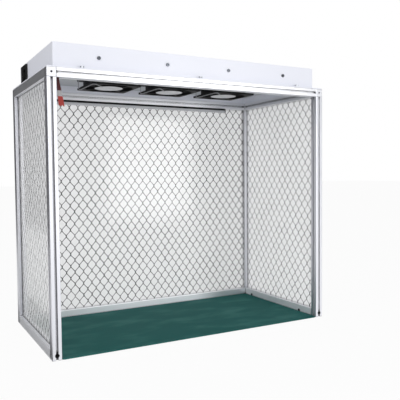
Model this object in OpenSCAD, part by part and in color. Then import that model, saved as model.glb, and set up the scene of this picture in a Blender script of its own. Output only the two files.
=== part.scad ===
// Bench-top vertical laminar flow hood: a slotted aluminium frame with film walls and an open front,
// a low sheet-metal filter box on top, three axial fans under its floor and a slim light bar.
// The origin is the centre of the footprint, on the bench. X runs right, Y runs back, Z runs up. Millimetres.

/* [Frame] */
// Overall width of the frame
frame_w = 700; // [660:10:900]
// Overall depth of the frame
frame_d = 350; // [330:10:450]
// Height of the frame without the filter box
frame_h = 587; // [450:1:700]
// Side of the square profile
profile = 20; // [20:0.5:24]
// Radius of the profile's long edges
profile_r = 1.5; // [0.6:0.1:2]
// Width of a slot's mouth
slot_w = 5.2; // [5.2:0.1:6.2]
// Thickness of the lips beside a slot
slot_lip = 1.8; // [1.4:0.1:2]
// Width of a slot behind its lips
slot_inner_w = 11; // [10:0.1:11.4]
// Depth of a slot down to the core
slot_depth = 6.1; // [5.6:0.1:6.4]
// Thickness of the four diagonal webs
web_t = 1.7; // [1.4:0.1:2]

/* [Corner cubes] */
// Wall of a hollow corner cube
cube_wall = 4; // [3.4:0.1:4.4]
// Access hole for the screwdriver
access_d = 4.6; // [4:0.1:6]

/* [Frame screws] */
// Shank of the frame screws
bolt_d = 4.9; // [4:0.1:4.9]
// Head diameter of a socket screw
bolt_head_d = 8.5; // [8:0.1:9]
// Head height of a socket screw
bolt_head_h = 5; // [4:0.1:5]
// Length of thread inside a profile's core
bolt_engage = 12; // [8:1:20]
// Hexagon socket across corners
socket_d = 4.4; // [3:0.1:4.6]

/* [Small rail screws] */
// Head diameter of the small screws inside the lower side rails
stud_head_d = 5.6; // [4:0.1:7]
// Head height of the small screws
stud_head_h = 1.6; // [1:0.1:2.5]
// Shank of the small screws
stud_d = 2.9; // [2:0.1:3.5]
// Length of shank below the head
stud_len = 5; // [4:0.5:6]
// Height of the small screws above the bench
stud_z = 5.5; // [5:0.1:8]
// Distance from the front post to the first screw
stud_front = 49; // [20:1:80]
// Distance from the rear corner to the second screw
stud_back = 35; // [20:1:80]

/* [Film walls] */
// Thickness of the film
film_t = 0.5; // [0.3:0.1:1]
// How far the film reaches into a slot
film_edge = 4.4; // [3:0.1:4.6]
// Rubber behind the film's edge
seal_base = 0.9; // [0.6:0.1:1]
// How deep the rubber's mouth lies below the profile's face
seal_recess = 1.4; // [0:0.1:1.5]
// How far the rubber's barbs reach behind the slot's lips
seal_barb = 0.8; // [0.4:0.1:1.2]

/* [Mat] */
// Thickness of the mat
mat_t = 2; // [1.5:0.1:2.4]
// Gap between the mat and the rails
mat_gap = 0.4; // [0.3:0.1:0.8]
// Corner radius of the mat
mat_r = 6; // [2:1:20]

/* [Filter box] */
// How far the box stands in from the frame's edge
box_inset = 17; // [14:0.5:24]
// Height of the box above the frame
box_h = 53; // [53:1:90]
// Sheet thickness of the box
sheet_t = 1.5; // [1:0.1:2]
// Thickness of the flange on the frame
flange_t = 2; // [1.5:0.1:3]
// How far the flange stays in from the frame's edge
flange_inset = 1; // [0.4:0.1:3]
// Outer bend radius of the box's upright edges
box_r = 2.5; // [2.1:0.1:6]
// How far the lip round the intake reaches over the filter cassette
intake_overlap = 6; // [4:0.5:9]

/* [Fan plate] */
// Height of the fan plate's underside above the frame
plate_rise = 17; // [12:0.5:20]
// Upturned edge of the fan plate
plate_edge = 22; // [18:0.5:26]
// Fit between the plate and the box
plate_gap = 0.3; // [0.2:0.1:0.4]

/* [Box screws] */
// Spacing of the screws in the front and rear walls
box_screw_pitch = 158; // [120:1:180]
// Shank of the box screws
box_screw_d = 3.9; // [3:0.1:4]
// Head diameter of the box screws
box_screw_head_d = 7.6; // [7:0.1:9]
// Head height of the box screws
box_screw_head_h = 2.2; // [1.5:0.1:3]
// Length of shank below the head
box_screw_len = 9; // [6:0.5:12]
// Spacing of the flange screws along the front and rear rails
flange_screw_pitch = 275; // [200:1:290]
// Height of a slot nut
nut_h = 3.2; // [2.4:0.1:3.6]
// Length of a slot nut
nut_len = 12; // [10:0.5:16]

/* [Filter] */
// Height of the filter cassette
filter_h = 24; // [18:1:26]
// Width of the cassette's wooden frame
filter_rim = 12; // [8:1:16]
// How far the cassette stays off the plate's upturned edges
filter_margin = 30; // [29:1:34]
// Gasket under the cassette
gasket_t = 6.5; // [5:0.1:8]
// Pitch of the pleats
pleat_pitch = 6; // [5:0.5:10]
// Thickness of the pleated paper
pleat_t = 1; // [0.6:0.1:1.4]
// Depth of the pleats
pleat_h = 20; // [14:1:22]

/* [Intake grille] */
// Sheet thickness of the grille
grille_t = 1.2; // [1:0.1:2]
// How far the grille stands in from the box's walls
grille_inset = 12; // [8:0.5:16]
// Length of a slot in the grille
louvre_l = 52; // [36:1:60]
// Width of a slot in the grille
louvre_w = 6; // [4:0.5:7]
// Bar between two slots
louvre_bar = 6; // [4:0.5:10]
// Shank of the grille screws
grille_screw_d = 2.9; // [2:0.1:3.2]
// Head diameter of the grille screws
grille_screw_head_d = 5.6; // [5:0.1:7]

/* [Fans] */
// Side of a fan's square flange
fan_size = 120; // [116:1:124]
// Thickness of a fan
fan_t = 25; // [24:0.5:32]
// Thickness of a fan's two flanges
fan_flange_t = 4; // [3:0.1:5]
// Wall of a fan's barrel
fan_wall = 2.2; // [1.6:0.1:3]
// Corner radius of a fan's flange
fan_corner_r = 5; // [3:0.5:7]
// Spacing of a fan's mounting holes
fan_hole_pitch = 105; // [103:0.5:106]
// Distance between the centres of two fans
fan_pitch = 160; // [150:1:166]
// Diameter of the motor cup
motor_d = 70; // [64:1:74]
// Thickness of the motor cup
motor_h = 5.7; // [4:0.1:7]
// Width of a strut
strut_w = 5; // [3:0.5:8]
// Height of a strut
strut_h = 4; // [3:0.5:5]
// Diameter of the rotor's hub
hub_d = 68; // [60:1:72]
// Radius of the motor shaft
shaft_r = 2.45; // [2:0.05:3]
// Pitch angle of the blades
blade_pitch = 34; // [26:1:42]
// Camber radius of a blade
blade_camber = 34; // [26:1:60]
// Thickness of a blade
blade_t = 1.8; // [1.2:0.1:2.4]
// Gap between blade tips and barrel
tip_gap = 1.2; // [0.8:0.1:2]
// Diameter of the round label on the motor
label_d = 66; // [50:1:68]
// Thickness of the label
label_t = 0.3; // [0.2:0.05:0.4]
// Radius of a fan's lead
lead_r = 0.9; // [0.7:0.1:1.2]
// Shank of the fan screws
fan_screw_d = 3.9; // [3:0.1:4]
// Head diameter of the fan screws
fan_screw_head_d = 7; // [6:0.1:8]
// Head height of the fan screws
fan_screw_head_h = 2.4; // [1.6:0.1:3]

/* [Light bar] */
// Length of the light bar
light_len = 520; // [400:10:560]
// Width of the light bar
light_w = 12; // [10:0.5:12]
// Height of the black housing
light_body_h = 5; // [4:0.5:8]
// Height of the milky lens
light_lens_h = 6; // [4:0.5:10]
// Length of an end cap
light_cap = 3; // [2:0.5:6]
// Wall of the lens
lens_wall = 1; // [0.8:0.1:1.4]

/* [Power inlet] */
// Length of the inlet's flange
inlet_l = 57; // [56:0.5:60]
// Height of the inlet's flange
inlet_h = 46; // [42:0.5:46]
// Thickness of the inlet's flange
inlet_flange_t = 4; // [3:0.1:5]
// Depth of the inlet's body behind the wall
inlet_depth = 26; // [24:0.5:27]
// Distance of the inlet's middle behind the middle of the hood
inlet_y = 103; // [60:1:110]
// Length of the body behind the flange
inlet_body_l = 48; // [47:0.5:50]
// Height of the body behind the flange
inlet_body_h = 28; // [27:0.5:30]
// Height of the plug's socket
socket_h = 24.4; // [24:0.1:25]
// Width of the plug's socket
socket_l = 16.6; // [16.4:0.1:17]
// Depth of the plug's socket
socket_depth = 17; // [15:0.5:18]
// Length of the blades in the socket
blade_len = 14; // [12:0.5:15]
// Travel of the fuse drawer
drawer_travel = 18; // [10:1:20]
// Clearance round the fuse drawer and the rocker
cell_gap = 0.25; // [0.2:0.05:0.35]
// Rocker's swing from one side to the other, in degrees
rocker_swing = 18; // [12:1:20]

/* [Airflow ribbon] */
// Length of the ribbon below the rail
ribbon_len = 57; // [40:1:120]
// Length of the ribbon inside the rail's slot
ribbon_tuck = 4; // [2:0.5:5]
// Width at the top
ribbon_top_w = 9; // [6:0.5:12]
// Width at the free end
ribbon_end_w = 12; // [10:0.5:20]
// Thickness
ribbon_t = 0.6; // [0.4:0.1:1]
// How far the free end leans to the right
ribbon_lean = 3; // [0:0.5:8]
// How far the ribbon sways out of its plane
ribbon_wave = 1.6; // [0:0.1:3]
// Distance from the left post
ribbon_x = 3; // [2:0.5:14]

/* [Hidden] */
$fn = 48;

// Small overshoot of a cutting tool past the face that it cuts
cut = 1;
// Clearance of a screw's shank in a plain hole, on the diameter
hole_gap = 0.3;
// Clearance between a screw's shank and its own threaded hole, on the diameter
thread_gap = 0.1;

half_w = frame_w / 2;
half_d = frame_d / 2;
half_p = profile / 2;
inner_w = frame_w - 2 * profile;
inner_d = frame_d - 2 * profile;
inner_x = half_w - profile;
inner_y = half_d - profile;
// Centre lines of the side rails, the front and rear rails and the corner cubes
line_x = half_w - half_p;
line_y = half_d - half_p;
line_z = frame_h - half_p;
rail_z = frame_h - profile;

core_d = bolt_d + thread_gap;
bolt_hole_d = bolt_d + hole_gap;
sink_d = bolt_head_d + 0.8;
sink_h = (sink_d - bolt_hole_d) / 2;

box_w = frame_w - 2 * box_inset;
box_d = frame_d - 2 * box_inset;
box_top = frame_h + box_h;
plate_z = frame_h + plate_rise;
plate_w = box_w - 2 * sheet_t - 2 * plate_gap;
plate_d = box_d - 2 * sheet_t - 2 * plate_gap;
plate_top = plate_z + sheet_t;
screw_z = plate_z + plate_edge / 2;

filter_w = plate_w - 2 * filter_margin;
filter_d = plate_d - 2 * (filter_margin - 10);
filter_z = plate_top + gasket_t;
filter_top = min(filter_z + filter_h, box_top - sheet_t - 1);
intake_w = filter_w - 2 * intake_overlap;
intake_d = filter_d - 2 * intake_overlap;

fan_z = plate_z - fan_t;
fan_bore_r = fan_size / 2 - 0.5 - fan_wall;
rotor_z = label_t + motor_h + 0.3;
rotor_top = fan_t - 3;
FAN_X = [-fan_pitch, 0, fan_pitch];

wall_x = -box_w / 2;
inlet_z = frame_h + box_h / 2;

// ---- shared shapes ----

// A rectangle with round corners, centred
module round_rect(w, d, r) {
    square([w - 2 * r, d], center = true);
    square([w, d - 2 * r], center = true);
    for (x = [-1, 1], y = [-1, 1])
        translate([x * (w / 2 - r), y * (d / 2 - r)]) circle(r = r);
}

// A flat ring between two centred rectangles
module ring(w, d, rim, h) {
    linear_extrude(height = h) difference() {
        square([w, d], center = true);
        square([w - 2 * rim, d - 2 * rim], center = true);
    }
}

// A pan-head or socket screw that stands head up: its head sits on z = 0 and its shank runs down
module screw(d, head_d, head_h, len, drive_d) {
    difference() {
        union() {
            cylinder(d = head_d, h = head_h);
            translate([0, 0, -len]) cylinder(d = d, h = len + head_h / 2);
        }
        translate([0, 0, head_h / 2]) cylinder(d = drive_d, h = head_h, $fn = 6);
    }
}

// ---- slotted profile ----

// The hollow behind one face, here the right one, open or closed towards the outside
module slot_2d(open) {
    side = slot_inner_w / 2;
    web = web_t / sqrt(2);
    lip = half_p - slot_lip;
    floor_x = half_p - slot_depth;
    polygon([
        [lip, -side], [side + web, -side], [floor_x, web - floor_x],
        [floor_x, floor_x - web], [side + web, side], [lip, side]
    ]);
    if (open) translate([lip - 0.1, -slot_w / 2]) square([slot_lip + cut, slot_w]);
}

// The profile's section. faces: right, back, left and front, 1 for an open slot
module profile_2d(faces) {
    difference() {
        round_rect(profile, profile, profile_r);
        for (k = [0:3]) rotate(k * 90) slot_2d(faces[k] == 1);
        circle(d = core_d);
    }
}

module upright(x, y, z0, z1, faces) {
    translate([x, y, z0]) linear_extrude(height = z1 - z0) profile_2d(faces);
}

// A rail along X; faces: back, top, front and bottom
module rail_x(y, z, faces) {
    translate([-inner_w / 2, y, z]) rotate([90, 0, 90]) linear_extrude(height = inner_w) profile_2d(faces);
}

// A rail along Y; faces: right, top, left and bottom
module rail_y(x, z, faces) {
    translate([x, inner_d / 2, z]) rotate([90, 0, 0]) linear_extrude(height = inner_d) profile_2d(faces);
}

// ---- posts and rails ----

// A front post stands on the bench; its foot is drilled for the screw into the lower side rail
module front_post(side) {
    color("silver") difference() {
        upright(side * line_x, -line_y, 0, rail_z, [1, 1, 1, 1]);
        translate([side * line_x, -half_d - cut, half_p]) rotate([-90, 0, 0]) {
            cylinder(d = sink_d, h = slot_depth + cut);
            cylinder(d = bolt_hole_d, h = profile + 2 * cut);
        }
    }
}

// A rear post stands on a corner cube
module rear_post(side) {
    color("silver")
        upright(side * line_x, line_y, profile, rail_z, side < 0 ? [1, 0, 0, 1] : [0, 0, 1, 1]);
}

module post_front_left() front_post(-1);
module post_front_right() front_post(1);
module post_rear_left() rear_post(-1);
module post_rear_right() rear_post(1);

module top_rail_front() color("gainsboro") rail_x(-line_y, line_z, [1, 1, 1, 1]);
module top_rail_rear() color("gainsboro") rail_x(line_y, line_z, [0, 1, 1, 1]);
module top_rail_left() color("dimgray") rail_y(-line_x, line_z, [1, 1, 0, 1]);
module top_rail_right() color("dimgray") rail_y(line_x, line_z, [0, 1, 1, 1]);

// Centres of the small screws on the inner face of one lower side rail, their axes inwards
module at_studs(side) {
    for (y = [-inner_y + stud_front, inner_y - stud_back])
        translate([side * inner_x, y, stud_z]) rotate([0, -side * 90, 0]) children();
}

module bottom_side_rail(side) {
    color("gray") difference() {
        rail_y(side * line_x, half_p, [0, 1, 0, 1]);
        at_studs(side) translate([0, 0, -stud_len - thread_gap])
            cylinder(d = stud_d + thread_gap, h = stud_len + thread_gap + cut);
    }
}

module bottom_rail_left() bottom_side_rail(-1);
module bottom_rail_right() bottom_side_rail(1);
module bottom_rail_rear() color("gainsboro") rail_x(line_y, half_p, [0, 1, 0, 1]);

// ---- corner cubes ----

// Turns its child from -Z towards +X, +Y or -Z, where a cube meets its three profiles
module towards_profiles() {
    children();
    rotate([90, 0, 0]) children();
    rotate([0, -90, 0]) children();
}

// The hollow cube of the front left top corner, about its own centre
module corner_cube() {
    wall_in = half_p - cube_wall;
    color("darkgray") difference() {
        intersection() {
            linear_extrude(height = profile, center = true) round_rect(profile, profile, profile_r);
            rotate([90, 0, 0]) linear_extrude(height = profile, center = true)
                round_rect(profile, profile, profile_r);
            rotate([0, 90, 0]) linear_extrude(height = profile, center = true)
                round_rect(profile, profile, profile_r);
        }
        cube(2 * wall_in, center = true);
        towards_profiles() {
            translate([0, 0, -profile]) cylinder(d = bolt_hole_d, h = profile);
            translate([0, 0, -wall_in - sink_h]) cylinder(d1 = bolt_hole_d, d2 = sink_d, h = sink_h);
            cylinder(d = access_d, h = profile);
        }
    }
}

// A flat-head screw from inside the cube into a profile's core
module cube_screw() {
    wall_in = half_p - cube_wall;
    head_h = (bolt_head_d - bolt_d) / 2;
    translate([0, 0, -wall_in]) difference() {
        union() {
            translate([0, 0, -head_h]) cylinder(d1 = bolt_d, d2 = bolt_head_d, h = head_h);
            translate([0, 0, -cube_wall - bolt_engage]) cylinder(d = bolt_d, h = cube_wall + bolt_engage - head_h / 2);
        }
        translate([0, 0, -head_h / 2]) cylinder(d = socket_d - 1, h = head_h, $fn = 6);
    }
}

// Places its child at a corner: sx and sy are -1 for left and front, sz is 1 for the top
module at_corner(sx, sy, sz) {
    translate([sx * line_x, sy * line_y, sz > 0 ? line_z : half_p])
        mirror([sx > 0 ? 1 : 0, 0, 0]) mirror([0, sy > 0 ? 1 : 0, 0]) mirror([0, 0, sz > 0 ? 0 : 1])
            children();
}

module corner_front_left() at_corner(-1, -1, 1) corner_cube();
module corner_front_right() at_corner(1, -1, 1) corner_cube();
module corner_rear_left() at_corner(-1, 1, 1) corner_cube();
module corner_rear_right() at_corner(1, 1, 1) corner_cube();
module foot_corner_left() at_corner(-1, 1, -1) corner_cube();
module foot_corner_right() at_corner(1, 1, -1) corner_cube();

module corner_screws() {
    color("dimgray") {
        for (x = [-1, 1], y = [-1, 1]) at_corner(x, y, 1) towards_profiles() cube_screw();
        for (x = [-1, 1]) at_corner(x, 1, -1) towards_profiles() cube_screw();
    }
}

// Socket screws through the front posts into the lower side rails
module foot_screws() {
    color([0.08, 0.08, 0.08]) for (x = [-1, 1])
        translate([x * line_x, -half_d + slot_depth, half_p]) rotate([90, 0, 0])
            screw(bolt_d, bolt_head_d, min(bolt_head_h, slot_depth - 0.3), profile - slot_depth + bolt_engage, socket_d);
}

// Small black screws on the inner faces of the lower side rails
module rail_screws() {
    color([0.08, 0.08, 0.08]) for (x = [-1, 1])
        at_studs(x) screw(stud_d, stud_head_d, stud_head_h, stud_len, stud_head_d / 3);
}

// ---- film walls ----

// A film across an opening w wide, standing in the XZ plane, with its corners notched round the cubes
module film(w) {
    h = rail_z - profile;
    color([0.86, 0.87, 0.9, 0.45]) translate([0, 0, profile + h / 2]) {
        cube([w + 2 * film_edge, film_t, h], center = true);
        cube([w, film_t, h + 2 * film_edge], center = true);
    }
}

// One rubber channel of the given length along X, open upwards, held by barbs behind the slot's lips
module seal(len) {
    mouth = min(seal_recess, slot_lip - 0.3);
    translate([-len / 2, 0, 0]) rotate([90, 0, 90]) linear_extrude(height = len) difference() {
        union() {
            translate([-slot_w / 2, -film_edge - seal_base]) square([slot_w, film_edge + seal_base - mouth]);
            translate([-slot_w / 2 - seal_barb, -slot_lip - seal_base]) square([slot_w + 2 * seal_barb, seal_base]);
        }
        translate([-film_t / 2, -film_edge]) square([film_t, film_edge + cut]);
    }
}

// The four channels round an opening w wide
module seals(w) {
    h = rail_z - profile;
    translate([0, 0, profile]) seal(w);
    translate([0, 0, rail_z]) mirror([0, 0, 1]) seal(w);
    for (x = [-1, 1])
        translate([x * w / 2, 0, profile + h / 2]) rotate([0, -x * 90, 0]) seal(h);
}

// Turns a rear wall into a side wall, its inner face towards the middle
module at_side(side) {
    translate([side * line_x, 0, 0]) rotate([0, 0, -side * 90]) children();
}

module film_left() at_side(-1) film(inner_d);
module film_right() at_side(1) film(inner_d);
module film_rear() translate([0, line_y, 0]) film(inner_w);

module film_seals() {
    color([0.55, 0.56, 0.6]) {
        at_side(-1) seals(inner_d);
        at_side(1) seals(inner_d);
        translate([0, line_y, 0]) seals(inner_w);
    }
}

// ---- mat ----

// The mat lies on the bench between the side rails, its front edge level with the posts
module mat() {
    w = inner_w - 2 * mat_gap;
    d = inner_d + profile - mat_gap;
    color([0.06, 0.33, 0.3]) translate([0, -half_d + d / 2, 0]) linear_extrude(height = mat_t)
        round_rect(w, d, mat_r);
}

// ---- filter box ----

// Centres of the screws in the front and rear walls
module at_box_screws() {
    for (y = [-1, 1], k = [-1.5, -0.5, 0.5, 1.5])
        translate([k * box_screw_pitch, y * box_d / 2, screw_z]) rotate([-y * 90, 0, 0]) children();
}

// Centres of the flange screws, over the slots of the front and rear rails
module at_flange_screws() {
    for (y = [-1, 1], k = [-1, 0, 1])
        translate([k * flange_screw_pitch, y * line_y, frame_h + flange_t]) children();
}

// The opening in the box's wall and the plate's edge for the inlet's body
module inlet_window(gap) {
    translate([wall_x + inlet_depth / 2, inlet_y, inlet_z])
        cube([inlet_depth + 8, inlet_body_l + 2 * gap, inlet_body_h + 2 * gap], center = true);
}

// The folded sheet-metal box with its flange; open below, with a lip round the intake above
module filter_box() {
    color("white") difference() {
        union() {
            translate([0, 0, frame_h]) linear_extrude(height = flange_t)
                round_rect(frame_w - 2 * flange_inset, frame_d - 2 * flange_inset, profile_r);
            translate([0, 0, frame_h]) linear_extrude(height = box_h) round_rect(box_w, box_d, box_r);
        }
        translate([0, 0, frame_h - cut]) linear_extrude(height = box_h - sheet_t + cut)
            round_rect(box_w - 2 * sheet_t, box_d - 2 * sheet_t, box_r - sheet_t);
        translate([0, 0, box_top]) cube([intake_w, intake_d, 4 * sheet_t], center = true);
        at_box_screws() translate([0, 0, -2 * sheet_t]) cylinder(d = box_screw_d + hole_gap, h = 4 * sheet_t);
        at_flange_screws() translate([0, 0, -flange_t - cut]) cylinder(d = bolt_hole_d, h = flange_t + 2 * cut);
        at_grille_screws() translate([0, 0, -sheet_t - cut]) cylinder(d = grille_screw_d + thread_gap, h = sheet_t + 2 * cut);
        inlet_window(0.1);
    }
}

// Turns its child to the mounting holes of one fan
module at_fan_holes() {
    for (x = [-1, 1], y = [-1, 1]) translate([x, y, 0] * fan_hole_pitch / 2) children();
}

// The ceiling of the work space: a tray that carries the fans, screwed to the box by its upturned edges
module fan_plate() {
    color("gainsboro") difference() {
        translate([0, 0, plate_z]) linear_extrude(height = plate_edge) square([plate_w, plate_d], center = true);
        translate([0, 0, plate_top]) linear_extrude(height = plate_edge)
            square([plate_w - 2 * sheet_t, plate_d - 2 * sheet_t], center = true);
        for (x = FAN_X) translate([x, 0, plate_z - cut]) {
            cylinder(r = fan_bore_r, h = sheet_t + 2 * cut, $fn = 96);
            at_fan_holes() cylinder(d = fan_screw_d + hole_gap, h = sheet_t + 2 * cut);
            translate([lead_out[0], lead_out[1], 0]) cylinder(r = lead_r + 0.3, h = sheet_t + 2 * cut);
        }
        at_box_screws() translate([0, 0, -4 * sheet_t]) cylinder(d = box_screw_d + thread_gap, h = 5 * sheet_t);
        inlet_window(plate_gap);
    }
}

module box_screws() {
    color("dimgray") at_box_screws()
        screw(box_screw_d, box_screw_head_d, box_screw_head_h, box_screw_len, box_screw_head_d / 2.4);
}

// The flange screws and the nuts that they pull up in the rails' slots
flange_screw_len = flange_t + slot_lip + nut_h + 0.4;

module flange_screws() {
    color("dimgray") at_flange_screws() screw(bolt_d, bolt_head_d, bolt_head_h, flange_screw_len, socket_d);
}

module slot_nuts() {
    color("silver") at_flange_screws() translate([0, 0, -flange_t - slot_lip - nut_h]) difference() {
        translate([-nut_len / 2, -slot_inner_w / 2 + 0.5 + nut_h / 2, 0])
            cube([nut_len, slot_inner_w - 1 - nut_h, nut_h]);
        translate([0, 0, -cut]) cylinder(d = core_d, h = nut_h + 2 * cut);
    }
}

// ---- filter ----

module filter_frame() {
    color("burlywood") translate([0, 0, filter_z]) ring(filter_w, filter_d, filter_rim, filter_top - filter_z);
}

module filter_gaskets() {
    color([0.2, 0.2, 0.2]) {
        translate([0, 0, plate_top]) ring(filter_w, filter_d, filter_rim, gasket_t);
        translate([0, 0, filter_top]) ring(filter_w, filter_d, filter_rim, box_top - sheet_t - filter_top);
    }
}

// The paper folds up and down along X; the section is a zigzag band with a flat land at each end
module filter_media() {
    w = filter_w - 2 * filter_rim;
    d = filter_d - 2 * filter_rim;
    n = 2 * floor(w / pleat_pitch / 2);
    step = w / n / 2;
    rise = min(pleat_h, filter_top - filter_z - pleat_t - 2);
    z0 = (filter_z + filter_top - rise - pleat_t) / 2;
    wave = [for (k = [0:2 * n]) [-w / 2 + k * step, k % 2 == 0 ? 0 : rise]];
    lower = [for (p = wave) [p[0], p[1]]];
    upper = [for (k = [2 * n:-1:0]) [wave[k][0], wave[k][1] + pleat_t * rise / step / 2]];
    color("ivory") translate([0, d / 2, z0]) rotate([90, 0, 0]) linear_extrude(height = d) intersection() {
        polygon(concat(lower, upper));
        translate([-w / 2, 0]) square([w, rise + pleat_t]);
    }
}

// ---- intake grille ----

grille_w = box_w - 2 * grille_inset;
grille_d = box_d - 2 * grille_inset;
grille_screw_x = (grille_w + filter_w) / 4;
grille_screw_y = (grille_d + filter_d) / 4;

module at_grille_screws() {
    for (x = [-1, -1 / 3, 1 / 3, 1], y = [-1, 1])
        translate([x * grille_screw_x, y * grille_screw_y, box_top]) children();
}

// A sheet with rows of round-ended slots over the whole intake
module intake_grille() {
    open_w = intake_w - 8;
    open_d = intake_d - 8;
    step_x = louvre_l + louvre_bar;
    step_y = louvre_w + louvre_bar;
    nx = floor((open_w + louvre_bar) / step_x);
    ny = floor((open_d + louvre_bar) / step_y);
    color("whitesmoke") difference() {
        translate([0, 0, box_top]) linear_extrude(height = grille_t) difference() {
            round_rect(grille_w, grille_d, 6);
            for (i = [0:nx - 1], j = [0:ny - 1])
                translate([(i - (nx - 1) / 2) * step_x, (j - (ny - 1) / 2) * step_y])
                    round_rect(louvre_l, louvre_w, louvre_w / 2 - 0.01);
        }
        at_grille_screws() translate([0, 0, -cut]) cylinder(d = grille_screw_d + hole_gap, h = grille_t + 2 * cut);
    }
}

module grille_screws() {
    color("silver") at_grille_screws() translate([0, 0, grille_t])
        screw(grille_screw_d, grille_screw_head_d, 1.8, grille_t + sheet_t + 0.6, grille_screw_head_d / 2.4);
}

// ---- fans ----

// Lower flange, barrel and upper flange in one; the lower corner holes stay empty
module fan_frame() {
    barrel_r = fan_size / 2 - 0.5;
    color([0.05, 0.05, 0.06]) difference() {
        union() {
            cylinder(r = barrel_r, h = fan_t, $fn = 96);
            for (z = [0, fan_t - fan_flange_t]) translate([0, 0, z]) linear_extrude(height = fan_flange_t)
                round_rect(fan_size, fan_size, fan_corner_r);
        }
        translate([0, 0, -cut]) cylinder(r = fan_bore_r, h = fan_t + 2 * cut, $fn = 96);
        translate([0, 0, -cut]) at_fan_holes() cylinder(d = fan_screw_d + hole_gap, h = fan_flange_t + 2 * cut);
        translate([0, 0, fan_t / 2]) at_fan_holes() cylinder(d = fan_screw_d + thread_gap, h = fan_t);
    }
}

// The motor cup on four struts that reach the barrel's bore, and the shaft
module fan_motor() {
    color([0.05, 0.05, 0.06]) translate([0, 0, label_t]) {
        cylinder(d = motor_d, h = motor_h, $fn = 96);
        intersection() {
            for (a = [45:90:315]) rotate(a) translate([motor_d / 2 - 2, -strut_w / 2, 0])
                cube([fan_size / 2 - motor_d / 2, strut_w, strut_h]);
            cylinder(r = fan_bore_r, h = fan_t, $fn = 96);
        }
        cylinder(r = shaft_r, h = rotor_top - 2 - label_t);
    }
}

// One cambered blade: a band between two arcs, cut to a ring round the hub
module blade() {
    tall = rotor_top - rotor_z - 1;
    arc_x = -sin(blade_pitch) * blade_camber;
    arc_y = cos(blade_pitch) * blade_camber;
    intersection() {
        difference() {
            cylinder(r = fan_bore_r - tip_gap, h = tall, $fn = 96);
            translate([0, 0, -cut]) cylinder(r = hub_d / 2 - 1, h = tall + 2 * cut, $fn = 96);
        }
        translate([0, 0, tall / 2]) rotate([90, 0, 90]) linear_extrude(height = fan_size / 2) intersection() {
            translate([arc_x, arc_y]) difference() {
                circle(r = blade_camber + blade_t / 2, $fn = 96);
                circle(r = blade_camber - blade_t / 2, $fn = 96);
            }
            square([34, tall + 2], center = true);
        }
    }
}

// Seven blades round a hub with a rounded nose, bored for the shaft
module fan_rotor() {
    nose = 3;
    color([0.09, 0.09, 0.1]) difference() {
        union() {
            translate([0, 0, rotor_z]) cylinder(d = hub_d, h = rotor_top - rotor_z - nose, $fn = 96);
            translate([0, 0, rotor_top - nose]) rotate_extrude($fn = 96) {
                square([hub_d / 2 - nose, nose]);
                intersection() {
                    translate([hub_d / 2 - nose, 0]) circle(r = nose);
                    square([hub_d / 2, nose]);
                }
            }
            for (k = [0:6]) rotate(k * 360 / 7) translate([0, 0, rotor_z + 0.5]) blade();
        }
        translate([0, 0, rotor_z - cut]) cylinder(r = shaft_r + 0.05, h = rotor_top - 2 - rotor_z + cut + 0.3);
    }
}

module fan_label() {
    color("silver") cylinder(d = label_d, h = label_t, $fn = 96);
}

// The lead runs from the motor round the corner hole, back along the flange and up through the plate
lead_turn = fan_screw_head_d / 2 + lead_r + 0.2;
lead_bend = 2.5;
lead_y = 33;
lead_from = motor_d / 2 / sqrt(2);
lead_x = fan_hole_pitch / 2 + lead_turn;
lead_out = [-lead_x - 2 * lead_bend - 0.6 - max(0, fan_size / 2 - lead_x - lead_bend), lead_y + lead_bend];
lead_reach = norm([1, 1] * (fan_hole_pitch / 2 - lead_from));
lead_aim = asin(lead_turn / lead_reach);

// A bend of the lead in the XY plane about the origin, from angle a over the given sweep
module lead_elbow(r, a, sweep) {
    rotate(a) rotate_extrude(angle = sweep, $fn = 48) translate([r, 0]) circle(r = lead_r, $fn = 24);
}

module lead_run(len) {
    cylinder(r = lead_r, h = len, $fn = 24);
}

module fan_lead() {
    c = fan_hole_pitch / 2;
    color([0.6, 0.6, 0.6]) translate([0, 0, -lead_r - 0.05]) {
        translate([-lead_from, -lead_from, 0]) rotate([0, 90, 225 + lead_aim]) lead_run(lead_reach * cos(lead_aim));
        translate([-c, -c, 0]) lead_elbow(lead_turn, 180, 135 + lead_aim);
        translate([-lead_x, -c, 0]) rotate([-90, 0, 0]) lead_run(lead_y + c);
        translate([-lead_x - lead_bend, lead_y, 0]) lead_elbow(lead_bend, 0, 90);
        translate([-lead_x - lead_bend, lead_out[1], 0]) rotate([0, -90, 0])
            lead_run(-lead_out[0] - lead_x - 2 * lead_bend);
        translate([lead_out[0] + lead_bend, lead_out[1], lead_bend]) rotate([90, 0, 0]) lead_elbow(lead_bend, 180, 90);
        translate([lead_out[0], lead_out[1], lead_bend]) lead_run(fan_t + sheet_t + 3);
    }
}

module at_fan(k) translate([FAN_X[k], 0, fan_z]) children();

module fan_frame_left() at_fan(0) fan_frame();
module fan_frame_middle() at_fan(1) fan_frame();
module fan_frame_right() at_fan(2) fan_frame();
module fan_motor_left() at_fan(0) fan_motor();
module fan_motor_middle() at_fan(1) fan_motor();
module fan_motor_right() at_fan(2) fan_motor();
module fan_rotor_left() at_fan(0) fan_rotor();
module fan_rotor_middle() at_fan(1) fan_rotor();
module fan_rotor_right() at_fan(2) fan_rotor();
module fan_label_left() at_fan(0) fan_label();
module fan_label_middle() at_fan(1) fan_label();
module fan_label_right() at_fan(2) fan_label();
module fan_lead_left() at_fan(0) fan_lead();
module fan_lead_middle() at_fan(1) fan_lead();
module fan_lead_right() at_fan(2) fan_lead();

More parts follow.
